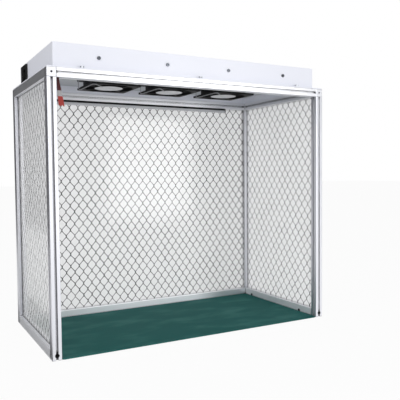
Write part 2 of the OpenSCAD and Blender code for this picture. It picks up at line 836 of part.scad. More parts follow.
// Short self-tapping screws from the plate's upper side into the fans' upper flanges
module fan_screws() {
    color([0.12, 0.12, 0.12]) for (k = [0:2]) at_fan(k) at_fan_holes() translate([0, 0, fan_t + sheet_t])
        screw(fan_screw_d, fan_screw_head_d, fan_screw_head_h, sheet_t + fan_flange_t - 0.5, fan_screw_head_d / 2.4);
}

// ---- light bar ----

light_y = inner_y - 4 + light_w / 2;
light_z = rail_z - light_body_h;

// The black channel under the rear top rail
module light_housing() {
    run = light_len - 2 * light_cap;
    color([0.04, 0.04, 0.05]) translate([-run / 2, light_y, light_z]) rotate([90, 0, 90])
        linear_extrude(height = run) difference() {
            translate([-light_w / 2, 0]) square([light_w, light_body_h]);
            translate([-light_w / 2 + 1.5, -cut]) square([light_w - 3, light_body_h - 1.5 + cut]);
        }
}

// The milky lens below it, a thin rounded trough
module light_lens() {
    run = light_len - 2 * light_cap;
    color([0.82, 0.83, 0.84]) translate([-run / 2, light_y, light_z - light_lens_h / 2]) rotate([90, 0, 90])
        linear_extrude(height = run) difference() {
            union() {
                round_rect(light_w, light_lens_h, 1.6);
                translate([-light_w / 2, 0]) square([light_w, light_lens_h / 2]);
            }
            translate([0, lens_wall]) square([light_w - 2 * lens_wall, light_lens_h], center = true);
        }
}

module light_caps() {
    h = light_body_h + light_lens_h;
    color([0.1, 0.1, 0.1]) for (x = [-1, 1])
        translate([x * (light_len - light_cap) / 2, light_y, rail_z - h / 2]) rotate([0, 90, 0])
            linear_extrude(height = light_cap, center = true) round_rect(h, light_w, 1.6);
}

// ---- power inlet ----

// Places its child on the box's left wall: x along the wall to the back, y up, z outwards
module on_wall() {
    translate([wall_x, inlet_y, inlet_z]) rotate([90, 0, -90]) mirror([1, 0, 0]) children();
}

// Middles of the three cells along the inlet, from the front
socket_x = -inlet_body_l / 2 + 2 + socket_l / 2;
drawer_l = 6;
drawer_h = 22;
drawer_depth = 22;
drawer_x = socket_x + socket_l / 2 + 1.5 + drawer_l / 2;
rocker_l = 12.5;
rocker_h = 19;
rocker_x = drawer_x + drawer_l / 2 + 2 + rocker_l / 2;
pivot_z = inlet_flange_t - 3;
pivot_r = 1.5;

// The plug socket's outline, with two corners cut off
module socket_2d() {
    a = socket_l / 2;
    b = socket_h / 2;
    c = 5;
    polygon([[-a, -b], [a - c, -b], [a, -b + c], [a, b - c], [a - c, b], [-a, b]]);
}

// Flange and body in one, with a cell each for the plug, the fuse drawer and the rocker
module inlet_body() {
    color([0.05, 0.05, 0.05]) on_wall() difference() {
        union() {
            linear_extrude(height = inlet_flange_t) round_rect(inlet_l, inlet_h, 3);
            translate([0, 0, -inlet_depth]) linear_extrude(height = inlet_depth + 0.1)
                square([inlet_body_l, inlet_body_h], center = true);
        }
        translate([socket_x, 0, inlet_flange_t - socket_depth]) linear_extrude(height = socket_depth + cut) socket_2d();
        translate([drawer_x, 0, inlet_flange_t - drawer_depth - cell_gap])
            linear_extrude(height = drawer_depth + cell_gap + cut)
                square([drawer_l + 2 * cell_gap, drawer_h + 2 * cell_gap], center = true);
        translate([rocker_x, 0, pivot_z - 9]) linear_extrude(height = 9 + inlet_flange_t + cut)
            square([rocker_l + 2 * cell_gap, rocker_h + 3], center = true);
        translate([rocker_x, 0, pivot_z]) rotate([0, 90, 0])
            cylinder(r = pivot_r + 0.08, h = rocker_l + 3.4, center = true);
    }
}

// Live, neutral and earth blades stand on the socket's floor
module inlet_blades() {
    color("goldenrod") on_wall() translate([socket_x, 0, inlet_flange_t - socket_depth]) {
        for (y = [-7, 7]) translate([-2, y, 0]) blade_pin();
        translate([2, 0, 0]) blade_pin();
    }
}

module blade_pin() {
    linear_extrude(height = blade_len) square([4, 2], center = true);
}

// The fuse drawer pulls straight out
module fuse_drawer() {
    color([0.1, 0.1, 0.1]) on_wall() translate([drawer_x, 0, inlet_flange_t - drawer_depth]) difference() {
        linear_extrude(height = drawer_depth + 0.6) square([drawer_l, drawer_h], center = true);
        translate([0, 0, 3]) linear_extrude(height = drawer_depth - 6) square([drawer_l + cut, drawer_h - 3], center = true);
        translate([0, drawer_h / 2 - 2, drawer_depth - 0.6]) cube([drawer_l - 2, 2, 4], center = true);
    }
}

// The rocker tilts about a pin across its middle; it rests with its lower half standing out
module rocker_switch() {
    a = rocker_h / 2;
    color([0.16, 0.16, 0.17]) on_wall() translate([rocker_x, 0, pivot_z]) rotate([-rocker_swing / 2, 0, 0]) {
        rotate([90, 0, 90]) linear_extrude(height = rocker_l, center = true)
            polygon([[-a, 1], [-a, 4.4], [0, 2.8], [a, 4.4], [a, 1], [3, -4], [-3, -4]]);
        rotate([0, 90, 0]) cylinder(r = pivot_r, h = rocker_l + 3, center = true);
    }
}

// ---- airflow ribbon ----

// A strip of fabric tucked into the slot under the front top rail; it hangs in a slight wave and widens
module airflow_ribbon() {
    top_z = rail_z + ribbon_tuck;
    tall = ribbon_len + ribbon_tuck;
    n = 12;
    rear = [for (k = [0:n]) [-ribbon_wave * (1 - cos(k / n * 360)) * k / n, top_z - k / n * tall]];
    front = [for (k = [n:-1:0]) rear[k] - [ribbon_t, 0]];
    left = -inner_x + ribbon_x;
    color([0.75, 0.1, 0.1]) intersection() {
        translate([left - 20, -line_y + slot_w / 2, 0]) rotate([90, 0, 90]) linear_extrude(height = 60)
            polygon(concat(rear, front));
        translate([0, -line_y + 30, 0]) rotate([90, 0, 0]) linear_extrude(height = 60) polygon([
            [left, top_z], [left + ribbon_top_w, top_z],
            [left + ribbon_end_w + ribbon_lean, top_z - tall], [left + ribbon_lean, top_z - tall]
        ]);
    }
}

post_front_left();
post_front_right();
post_rear_left();
post_rear_right();
top_rail_front();
top_rail_rear();
top_rail_left();
top_rail_right();
bottom_rail_left();
bottom_rail_right();
bottom_rail_rear();
corner_front_left();
corner_front_right();
corner_rear_left();
corner_rear_right();
foot_corner_left();
foot_corner_right();
corner_screws();
foot_screws();
rail_screws();
film_left();
film_right();
film_rear();
film_seals();
mat();
filter_box();
fan_plate();
box_screws();
flange_screws();
slot_nuts();
filter_frame();
filter_media();
filter_gaskets();
intake_grille();
grille_screws();
fan_frame_left();
fan_frame_middle();
fan_frame_right();
fan_motor_left();
fan_motor_middle();
fan_motor_right();
fan_rotor_left();
fan_rotor_middle();
fan_rotor_right();
fan_label_left();
fan_label_middle();
fan_label_right();
fan_lead_left();
fan_lead_middle();
fan_lead_right();
fan_screws();
light_housing();
light_lens();
light_caps();
inlet_body();
inlet_blades();
fuse_drawer();
rocker_switch();
airflow_ribbon();
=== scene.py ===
"""Bench-top laminar flow hood: finishes, film walls, ribbon, camera and light on the CAD frame.

The row frame is used throughout: metres, X right, Y back, Z up, the origin at the middle of the
footprint.
"""

from __future__ import annotations

import logging
import math
from dataclasses import dataclass, field
from enum import Enum

import bpy
import numpy as np
from mathutils import Matrix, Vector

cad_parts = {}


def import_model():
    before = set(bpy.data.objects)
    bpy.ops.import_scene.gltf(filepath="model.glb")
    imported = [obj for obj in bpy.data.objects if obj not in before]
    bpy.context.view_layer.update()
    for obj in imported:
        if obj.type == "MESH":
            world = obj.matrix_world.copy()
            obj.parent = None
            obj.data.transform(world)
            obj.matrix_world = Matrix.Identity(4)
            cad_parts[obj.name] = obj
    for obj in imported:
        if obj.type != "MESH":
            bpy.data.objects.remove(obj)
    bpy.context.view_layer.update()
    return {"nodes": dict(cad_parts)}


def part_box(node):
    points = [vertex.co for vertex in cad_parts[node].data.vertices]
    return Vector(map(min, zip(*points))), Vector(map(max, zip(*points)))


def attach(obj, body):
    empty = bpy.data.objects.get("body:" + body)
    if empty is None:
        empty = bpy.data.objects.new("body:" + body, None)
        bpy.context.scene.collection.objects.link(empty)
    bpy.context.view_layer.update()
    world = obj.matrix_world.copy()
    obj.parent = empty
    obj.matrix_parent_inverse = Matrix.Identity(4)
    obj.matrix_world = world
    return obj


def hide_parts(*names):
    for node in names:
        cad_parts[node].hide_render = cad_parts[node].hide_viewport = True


LOG = logging.getLogger("hood")
MM = 0.001
WHITE = (1.0, 1.0, 1.0, 1.0)


# ---------------------------------------------------------------- shader helpers


def srgb(code: str, alpha: float = 1.0) -> tuple[float, float, float, float]:
    """Turns an sRGB hex colour into linear RGBA.

    Args:
        code: six hex digits with a leading '#'.
        alpha: opacity to carry along.

    Returns:
        Four linear components.
    """
    parts = [int(code[i : i + 2], 16) / 255 for i in (1, 3, 5)]
    linear = [c / 12.92 if c <= 0.04045 else ((c + 0.055) / 1.055) ** 2.4 for c in parts]
    return (*linear, alpha)


def dim(colour: tuple[float, ...], factor: float) -> tuple[float, float, float, float]:
    """Scales a linear colour by factor and makes it opaque."""
    return (*(factor * c for c in colour[:3]), 1.0)


class Graph:
    """A material's or world's node tree, with one method that adds a node."""

    def __init__(self, tree: bpy.types.NodeTree) -> None:
        self.tree = tree
        tree.nodes.clear()

    def add(self, kind: str, inputs: dict | None = None, **settings) -> bpy.types.Node:
        """Adds one node.

        Args:
            kind: the node's type name without its 'ShaderNode' prefix.
            inputs: socket name or index to a constant or to another node's output socket.
            settings: properties of the node itself.

        Returns:
            The new node.
        """
        node = self.tree.nodes.new("ShaderNode" + kind)
        for name, value in settings.items():
            setattr(node, name, value)
        for key, value in (inputs or {}).items():
            if isinstance(value, bpy.types.NodeSocket):
                self.tree.links.new(value, node.inputs[key])
            else:
                node.inputs[key].default_value = value
        return node

    def math(self, operation: str, *values) -> bpy.types.NodeSocket:
        """Adds a Math node on one to three numbers or sockets and returns its result."""
        return self.add("Math", dict(enumerate(values)), operation=operation).outputs[0]

    def mix(self, factor, first, second) -> bpy.types.NodeSocket:
        """Blends two colours by factor and returns the colour."""
        node = self.add("Mix", {0: factor, 6: first, 7: second}, data_type="RGBA")
        return node.outputs[2]

    def step(self, low: float, high: float, value) -> bpy.types.NodeSocket:
        """Smooth 0 to 1 ramp of value between low and high."""
        ends = {0: value, 1: low, 2: high, 3: 0.0, 4: 1.0}
        return self.add("MapRange", ends, interpolation_type="SMOOTHSTEP").outputs[0]

    def coords(self, scale: tuple[float, float, float] = (1, 1, 1)) -> bpy.types.NodeSocket:
        """Object coordinates, in metres times scale."""
        source = self.add("TexCoord").outputs["Object"]
        return self.add("Mapping", {"Vector": source, "Scale": scale}).outputs[0]

    def noise(self, size_mm: float, detail: float = 2.0, stretch=(1, 1, 1)) -> bpy.types.NodeSocket:
        """Adds noise over the object.

        Args:
            size_mm: about how wide its features are.
            detail: how many finer layers lie over them.
            stretch: scale along each axis; features are drawn out where it is below 1.

        Returns:
            The noise, 0 to 1.
        """
        inputs = {"Vector": self.coords(stretch), "Scale": 1 / (size_mm * MM), "Detail": detail}
        return self.add("TexNoise", inputs).outputs[0]

    def bump(self, height, depth_mm: float) -> bpy.types.NodeSocket:
        """Turns a height of 0 to 1 into a normal for relief depth_mm deep."""
        inputs = {"Height": height, "Distance": depth_mm * MM, "Strength": 1.0}
        return self.add("Bump", inputs).outputs[0]

    def seen(self) -> bpy.types.NodeSocket:
        """1 for a ray from the camera, through a film or off a mirror, 0 for scattered light."""
        path = self.add("LightPath").outputs
        direct = self.math("MAXIMUM", path["Is Camera Ray"], path["Is Transmission Ray"])
        return self.math("MAXIMUM", direct, path["Is Glossy Ray"])

    def finish(self, shader: bpy.types.Node, kind: str = "OutputMaterial") -> None:
        """Joins a shader to the tree's output."""
        self.add(kind, {"Surface": shader.outputs[0]})


def new_material(name: str) -> tuple[bpy.types.Material, Graph]:
    """Makes an empty material and the graph that fills it."""
    material = bpy.data.materials.new(name)
    material.use_nodes = True
    return material, Graph(material.node_tree)


class Grain(Enum):
    """How a surface's small relief runs."""

    EVEN = (1, 1, 1)
    ALONG_X = (0.01, 1, 1)
    ALONG_Y = (1, 0.01, 1)
    ALONG_Z = (1, 1, 0.01)


WORN_TONE = 0.6
# Painted shade for slots and hollows: its darkest tone, and the open-sky range it fades over
PAINTED_SHADE_TONE = 0.08
PAINTED_SHADE_RAMP = (0.3, 0.75)


@dataclass(frozen=True)
class Finish:
    """A plain surface: one colour with a little wear and relief.

    Patches shade_size_mm wide are up to shade of the way to WORN_TONE of the colour, and change the
    roughness by rough_spread. relief_mm is the height of the small relief and relief_size_mm the
    width of its features. ior and specular count for non-metals. Where a reach for painted shade is
    set, what has walls closer than that over most of its sky is painted darker, down towards a
    near-black tone of the colour: painted shade in slots and hollows, where little light gets in.
    """

    name: str
    colour: str
    rough: float
    metal: float = 0.0
    ior: float = 1.5
    shade: float = 0.0
    shade_size_mm: float = 60.0
    rough_spread: float = 0.04
    relief_mm: float = 0.0
    relief_size_mm: float = 1.0
    grain: Grain = Grain.EVEN
    specular: float = 0.5
    # Reach in millimetres of the painted shade in slots and hollows; 0 for none
    painted_shade_reach_mm: float = 0.0

    def build(self) -> bpy.types.Material:
        """Makes the Blender material."""
        material, g = new_material(self.name)
        colour = srgb(self.colour)
        cloud = g.noise(self.shade_size_mm, 3.0)
        tint = g.mix(g.math("MULTIPLY", cloud, self.shade), colour, dim(colour, WORN_TONE))
        # Painted shade: darkens slots and hollows that see little open sky
        if self.painted_shade_reach_mm:
            reach = {"Distance": self.painted_shade_reach_mm * MM}
            sky = g.add("AmbientOcclusion", reach, samples=8).outputs["AO"]
            tint = g.mix(g.step(*PAINTED_SHADE_RAMP, sky), dim(colour, PAINTED_SHADE_TONE), tint)
        centred = g.math("SUBTRACT", cloud, 0.5)
        rough = g.math("MULTIPLY_ADD", centred, 2 * self.rough_spread, self.rough)
        inputs = {"Base Color": tint, "Roughness": rough, "Metallic": self.metal}
        if self.metal < 0.5:
            inputs["IOR"] = self.ior
            inputs["Specular IOR Level"] = self.specular
        if self.relief_mm:
            height = g.noise(self.relief_size_mm, 2.0, self.grain.value)
            inputs["Normal"] = g.bump(height, self.relief_mm)
        g.finish(g.add("BsdfPrincipled", inputs))
        return material


@dataclass(frozen=True)
class NetFilm:
    """Milky vinyl film with a printed net of rounded hexagons that stand on a point.

    The cells' centres are at (i, j) and (i + 1/2, j + 1/2) times (pitch_u, pitch_v) from (start_u,
    start_v), and their columns lean by lean times the height. With p and q the distances from the
    nearest centre along the wall and upwards, a cell's size function is
    h = ((p / (pitch_u / 2))^n + ((q + k p) / t)^n)^(1/n), with t = (pitch_v - link) / 2 its half
    height, k = (t - link / 2) / (pitch_u / 2) the slope of its sides and n round_power. A line is
    where the smaller h of the two sets of cells is above about 1 - line. Upright links of length
    link join the cells' sides. The lines wander by up to wander, as the film is stretched by hand.
    The vinyl lets 1 - opacity of the light straight through, and scatters the share veil forwards.
    Lengths are in millimetres.
    """

    name: str
    along: str
    pitch_u: float = 23.0
    pitch_v: float = 32.0
    link: float = 4.5
    line: float = 0.092
    round_power: float = 9.0
    start_u: float = 0.0
    start_v: float = 0.0
    lean: float = 0.0
    wander: float = 0.8
    ink: str = "#1C1D20"
    body: str = "#FBFBFC"
    opacity: float = 0.7
    rough: float = 0.12
    veil: float = 0.35

    def cell(self, g: Graph, p, q) -> bpy.types.NodeSocket:
        """The size function h of one set of cells, from the distances p and q in metres."""
        half = self.pitch_u / 2 * MM
        tall = (self.pitch_v - self.link) / 2 * MM
        slope = (tall - self.link / 2 * MM) / half
        side = g.math("POWER", g.math("DIVIDE", p, half), self.round_power)
        tip = g.math("DIVIDE", g.math("MULTIPLY_ADD", p, slope, q), tall)
        both = g.math("ADD", side, g.math("POWER", tip, self.round_power))
        return g.math("POWER", both, 1 / self.round_power)

    def build(self) -> bpy.types.Material:
        """Makes the Blender material."""
        material, g = new_material(self.name)
        axes = g.add("SeparateXYZ", {0: g.coords()}).outputs
        reach = self.wander * MM
        wobble = g.math("MULTIPLY_ADD", g.noise(14.0, 1.0), 2 * reach, -reach)
        along = g.math("MULTIPLY_ADD", axes[2], -self.lean, axes[0 if self.along == "x" else 1])
        places = []
        for value, pitch, start in (
            (along, self.pitch_u, self.start_u),
            (axes[2], self.pitch_v, self.start_v),
        ):
            shifted = g.math("ADD", g.math("ADD", value, wobble), -start * MM)
            places.append((g.math("PINGPONG", shifted, pitch / 2 * MM), pitch / 2 * MM))
        first = self.cell(g, places[0][0], places[1][0])
        second = self.cell(g, *(g.math("SUBTRACT", half, near) for near, half in places))
        inside = g.math("SUBTRACT", 1.0, g.math("MINIMUM", first, second))
        ink = g.math("SUBTRACT", 1.0, g.step(self.line * 0.7, self.line * 1.2, inside))
        # The ink is thinner in places, down to two thirds
        strength = g.math("MULTIPLY_ADD", g.noise(30.0, 2.0), 0.6, 0.65)
        worn = g.math("MINIMUM", 1.0, g.math("MULTIPLY", ink, strength))
        colour = g.mix(worn, srgb(self.body), srgb(self.ink))
        inputs = {"Base Color": colour, "Roughness": self.rough, "IOR": 1.52}
        inputs["Alpha"] = g.math("MAXIMUM", self.opacity, worn)
        inputs["Normal"] = g.bump(g.noise(55.0, 1.0), 0.5)
        skin = g.add("BsdfPrincipled", inputs)
        glow = g.add("BsdfTranslucent", {"Color": colour})
        g.finish(g.add("MixShader", {0: self.veil, 1: skin.outputs[0], 2: glow.outputs[0]}))
        return material


@dataclass(frozen=True)
class MatRubber:
    """Dark green bench-mat rubber: a fine grain under wide, soft patches of polish.

    The middle of a patch is fade of the way to the worn colour and smoother by polish. That lighter
    colour is part wear and part painted sheen.
    """

    name: str = "mat rubber"
    colour: str = "#005753"
    # The lighter patch colour: part wear, part painted sheen
    worn: str = "#1D6F69"
    rough: float = 0.74
    fade: float = 0.55
    polish: float = 0.12

    def build(self) -> bpy.types.Material:
        """Makes the Blender material."""
        material, g = new_material(self.name)
        cloud = g.step(0.42, 0.75, g.noise(120.0, 4.0, (1, 2.2, 1)))
        # Patches: wear, with painted sheen in their lighter colour
        patches = g.math("MULTIPLY", cloud, self.fade)
        inputs = {"Base Color": g.mix(patches, srgb(self.colour), srgb(self.worn))}
        inputs["Roughness"] = g.math("MULTIPLY_ADD", cloud, -self.polish, self.rough)
        inputs |= {"IOR": 1.52, "Specular IOR Level": 0.24}
        inputs["Normal"] = g.bump(g.noise(2.5, 2.0), 0.06)
        g.finish(g.add("BsdfPrincipled", inputs))
        return material


@dataclass(frozen=True)
class RibbonCloth:
    """Plain-woven ribbon in bands that start at shares of its length: dark red, grey, red."""

    name: str = "ribbon cloth"
    bands: tuple[tuple[float, str], ...] = (
        # The first band's dark red is part dye and part painted shade, for the shadow under the top
        # rail
        (0.0, "#4A0814"),
        (0.47, "#A9A8AA"),
        (0.66, "#A0352E"),
    )
    thread_mm: float = 0.5

    def build(self) -> bpy.types.Material:
        """Makes the Blender material."""
        material, g = new_material(self.name)
        uv = g.add("SeparateXYZ", {0: g.add("UVMap", uv_map="ribbon").outputs[0]}).outputs
        colour = srgb(self.bands[0][1])
        for start, code in self.bands[1:]:
            colour = g.mix(g.step(start - 0.01, start + 0.01, uv[1]), colour, srgb(code))
        turn = 2 * math.pi / (self.thread_mm * MM)
        axes = g.add("SeparateXYZ", {0: g.coords()}).outputs
        warp, weft = (g.math("SINE", g.math("MULTIPLY", axes[i], turn)) for i in (0, 2))
        inputs = {"Base Color": colour, "Roughness": 0.78, "IOR": 1.5, "Sheen Weight": 0.3}
        inputs["Normal"] = g.bump(g.math("MULTIPLY", warp, weft), 0.05)
        g.finish(g.add("BsdfPrincipled", inputs))
        return material


# ---------------------------------------------------------------- surfaces


def grid_mesh(name: str, points: np.ndarray, uv: str | None = None) -> bpy.types.Object:
    """Makes a mesh object from a grid of points.

    Args:
        name: the object's name.
        points: array of shape (rows, columns, 3) in metres, in the row frame.
        uv: name of a UV map that holds (column, row) as 0 to 1, or None.

    Returns:
        The object, smooth shaded, at the origin.
    """
    rows, cols, _ = points.shape
    index = np.arange(rows * cols).reshape(rows, cols)
    left, right = index[:, :-1], index[:, 1:]
    quads = np.stack([left[:-1], right[:-1], right[1:], left[1:]], axis=-1).reshape(-1, 4)
    mesh = bpy.data.meshes.new(name)
    mesh.from_pydata(points.reshape(-1, 3).tolist(), [], quads.tolist())
    mesh.polygons.foreach_set("use_smooth", np.ones(len(quads), dtype=bool))
    if uv:
        layer = mesh.uv_layers.new(name=uv)
        v, u = np.divmod(np.array([loop.vertex_index for loop in mesh.loops]), cols)
        shares = np.stack([u / (cols - 1), v / (rows - 1)], axis=-1)
        layer.data.foreach_set("uv", shares.ravel())
    mesh.update()
    obj = bpy.data.objects.new(name, mesh)
    bpy.context.scene.collection.objects.link(obj)
    return obj


def aimed(place, ahead: np.ndarray, right: np.ndarray, up: np.ndarray) -> Matrix:
    """The matrix of a camera or lamp at place that looks ahead."""
    matrix = np.eye(4)
    matrix[:3, 0], matrix[:3, 1], matrix[:3, 2], matrix[:3, 3] = right, up, -ahead, place
    return Matrix(matrix.tolist())


class Shop:
    """Builds each finish once and puts it on objects."""

    def __init__(self) -> None:
        self.made: dict[str, bpy.types.Material] = {}

    def paint(self, obj: bpy.types.Object, finish) -> None:
        """Gives an object one finish on all its faces."""
        if finish.name not in self.made:
            self.made[finish.name] = finish.build()
        obj.data.materials.clear()
        obj.data.materials.append(self.made[finish.name])


# ---------------------------------------------------------------- finishes

# Anodised 6063 extrusion, matt, with faint die lines along its length; its slots get painted shade
EXTRUDED = {"relief_mm": 0.01, "relief_size_mm": 1.2, "painted_shade_reach_mm": 7}
PROFILE_X = Finish(
    "anodised profile along x", "#F0F1F5", 0.40, 1.0, grain=Grain.ALONG_X, **EXTRUDED
)
PROFILE_Y = Finish(
    "anodised profile along y", "#F0F1F5", 0.48, 1.0, grain=Grain.ALONG_Y, **EXTRUDED
)
# The posts: the same extrusion painted a shade darker than the rails, as painted shade for how
# light falls on them
PROFILE_Z_PAINTED_DARKER = Finish(
    "anodised profile along z painted darker", "#E0E1E7", 0.40, 1.0, grain=Grain.ALONG_Z, **EXTRUDED
)
# The lower rails, whose oxide layer is duller and scatters part of the light
LOWER_Y = Finish(
    "matt anodised profile along y", "#F0F1F5", 0.5, 0.55, grain=Grain.ALONG_Y, **EXTRUDED
)
# Die-cast aluminium cube, blasted and anodised
CUBE = Finish("cast corner cube", "#E2E3E8", 0.44, 1.0, relief_mm=0.02, relief_size_mm=0.6)
# Zinc-plated steel screws and nuts
ZINC = Finish("zinc-plated steel", "#B9BCC2", 0.3, 1.0, shade=0.2, shade_size_mm=4)
# Nickel-plated steel screws of the box, painted dark grey: painted shade for the
# shadow round each shiny head and in its recess
NICKEL_PAINTED_DARK = Finish("nickel-plated steel", "#5E6167", 0.28, 1.0, shade=0.3, shade_size_mm=4)
# Black-oxide steel screws
BLACK_STEEL = Finish("black-oxide steel", "#1B1B1D", 0.38, 1.0, shade=0.2, shade_size_mm=4)
# Grey vinyl edge strip in the slots
SEAL = Finish("vinyl edge strip", "#85868C", 0.5, ior=1.53)
# White polyester powder coat with a slight orange peel
POWDER = Finish("white powder coat", "#EAECF5", 0.36, relief_mm=0.012, relief_size_mm=2.5)
# Light grey powder coat on the fan plate
GREY_POWDER = Finish("grey powder coat", "#C2C4C9", 0.45, relief_mm=0.012, relief_size_mm=2.5)
# MDF rim of the filter cassette
BOARD = Finish("cassette board", "#B99C6C", 0.7, shade=0.3, relief_mm=0.05, relief_size_mm=0.8)
# Glass-fibre filter paper
PAPER = Finish("filter paper", "#EEEBDD", 0.9, relief_mm=0.04, relief_size_mm=0.5)
# Closed-cell neoprene foam
FOAM = Finish("gasket foam", "#2A2A2C", 0.85, relief_mm=0.1, relief_size_mm=0.8)
# Glass-filled PBT of the fans
FAN_PLASTIC = Finish(
    "fan plastic", "#040405", 0.62, specular=0.3, relief_mm=0.01, relief_size_mm=0.8
)
# Polyester foil label without any print
FOIL = Finish("foil label", "#D9DADD", 0.4, 0.6, shade=0.25, shade_size_mm=12)
# Silicone sleeve of the fan leads
LEAD = Finish("lead sleeve", "#A9AAAD", 0.5, ior=1.45)
# Black anodised housing of the light bar
BAR = Finish("light bar black", "#030304", 0.6, ior=1.45, specular=0.3)
# Opal polycarbonate lens
LENS = Finish("opal lens", "#CBCCD1", 0.35, ior=1.58)
# Moulded black nylon of the power module
NYLON = Finish("inlet nylon", "#050506", 0.55, ior=1.53, specular=0.3)
# Brass contact blades
BRASS = Finish("contact brass", "#C9A24D", 0.25, 1.0)


# ---------------------------------------------------------------- sub-assemblies


@dataclass
class Assembly:
    """A group of CAD nodes and pieces that are dressed together."""

    shop: Shop
    nodes: dict[str, bpy.types.Object]
    count: int = field(default=0, init=False)

    def paint(self, finish, *names: str) -> None:
        """Gives CAD nodes a finish."""
        for name in names:
            self.shop.paint(self.nodes[name], finish)
            self.count += 1

    def report(self) -> None:
        """Logs how many pieces this assembly has finished."""
        LOG.info("%s: %d pieces", type(self).__name__, self.count)


@dataclass
class Frame(Assembly):
    """The slotted frame with its corner cubes and screws."""

    def build(self) -> None:
        """Paints profiles by the axis that they run along, then the cubes and screws."""
        corners = [f"{a}_{b}" for a in ("front", "rear") for b in ("left", "right")]
        # The posts carry painted shade: their colour is darker than the rails'
        self.paint(PROFILE_Z_PAINTED_DARKER, *(f"post_{corner}" for corner in corners))
        self.paint(PROFILE_X, "top_rail_front", "top_rail_rear", "bottom_rail_rear")
        self.paint(PROFILE_Y, "top_rail_left", "top_rail_right")
        self.paint(LOWER_Y, "bottom_rail_left", "bottom_rail_right")
        self.paint(CUBE, *(f"corner_{corner}" for corner in corners))
        self.paint(CUBE, "foot_corner_left", "foot_corner_right")
        self.paint(ZINC, "corner_screws")
        self.paint(BLACK_STEEL, "foot_screws", "rail_screws")
        self.paint(SEAL, "film_seals")
        self.report()


@dataclass
class FilmWalls(Assembly):
    """Three thin, slightly rippled films in place of the CAD's flat ones.

    With s along the wall and t upwards, both from 0 to 1, a film leaves its middle plane by
    reach * sin(pi s) * sin(pi t) * (sin(5.2 s + phase) + 0.5 sin(6.9 t + 2 phase)) / 1.5, so its
    edges stay flat in the slots. reach is the share fill of half the CAD film's thickness.
    """

    fill: float = 0.96
    columns: int = 90
    rows: int = 90

    def build(self) -> None:
        """Makes the rear wall and the two side walls."""
        rear = NetFilm(
            "printed film rear", "x", 22.9, 32.1, start_u=2.2, start_v=4.0, lean=0.0098
        )
        side = NetFilm(
            "printed film side", "y", 24.8, 31.6, line=0.075, start_u=11.9, start_v=6.8, lean=-0.019
        )
        self.wall("film_rear", rear, 0, 0.4)
        self.wall("film_left", side, 1, 2.1)
        self.wall("film_right", side, 1, 4.0)
        self.report()

    def wall(self, name: str, finish: NetFilm, along: int, phase: float) -> None:
        """Makes one film in the place of its CAD node.

        Args:
            name: the CAD node.
            finish: the printed film.
            along: the axis that the wall runs along, 0 or 1.
            phase: start of the ripple.
        """
        low, high = (np.array(p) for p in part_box(name))
        across = 1 - along
        s, t = np.meshgrid(np.linspace(0, 1, self.columns), np.linspace(0, 1, self.rows))
        out = np.zeros((self.rows, self.columns, 3))
        out[..., along] = low[along] + s * (high[along] - low[along])
        out[..., 2] = low[2] + t * (high[2] - low[2])
        wave = np.sin(5.2 * s + phase) + 0.5 * np.sin(6.9 * t + 2 * phase)
        flat = (low[across] + high[across]) / 2
        room = (high[across] - low[across]) / 2
        edges = np.sin(np.pi * s) * np.sin(np.pi * t)
        out[..., across] = flat + room * self.fill * edges * wave / 1.5
        sheet = grid_mesh(name + "_sheet", out)
        self.shop.paint(sheet, finish)
        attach(sheet, "hood")
        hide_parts(name)
        self.count += 1


@dataclass
class WorkMat(Assembly):
    """The green mat on the bench."""

    def build(self) -> None:
        """Paints the mat."""
        self.paint(MatRubber(), "mat")
        self.report()


@dataclass
class FilterBox(Assembly):
    """The white box with its plate, filter, grille and screws."""

    def build(self) -> None:
        """Paints the box's parts."""
        self.paint(POWDER, "filter_box", "intake_grille")
        self.paint(GREY_POWDER, "fan_plate")
        # Box screws: nickel painted dark as painted shade round and in their heads
        self.paint(NICKEL_PAINTED_DARK, "box_screws")
        self.paint(ZINC, "flange_screws", "slot_nuts", "grille_screws")
        self.paint(BOARD, "filter_frame")
        self.paint(PAPER, "filter_media")
        self.paint(FOAM, "filter_gaskets")
        self.report()


@dataclass
class Fans(Assembly):
    """Three axial fans with their leads and screws."""

    def build(self) -> None:
        """Paints the fans' parts."""
        for side in ("left", "middle", "right"):
            self.paint(FAN_PLASTIC, *(f"fan_{part}_{side}" for part in ("frame", "motor", "rotor")))
            self.paint(FOIL, f"fan_label_{side}")
            self.paint(LEAD, f"fan_lead_{side}")
        self.paint(BLACK_STEEL, "fan_screws")
        self.report()


@dataclass
class LightBar(Assembly):
    """The slim lamp under the rear top rail."""

    def build(self) -> None:
        """Paints the bar."""
        self.paint(BAR, "light_housing", "light_caps")
        self.paint(LENS, "light_lens")
        self.report()


@dataclass
class PowerModule(Assembly):
    """The inlet with its blades, fuse drawer and rocker."""

    def build(self) -> None:
        """Paints the module."""
        self.paint(NYLON, "inlet_body", "fuse_drawer", "rocker_switch")
        self.paint(BRASS, "inlet_blades")
        self.report()


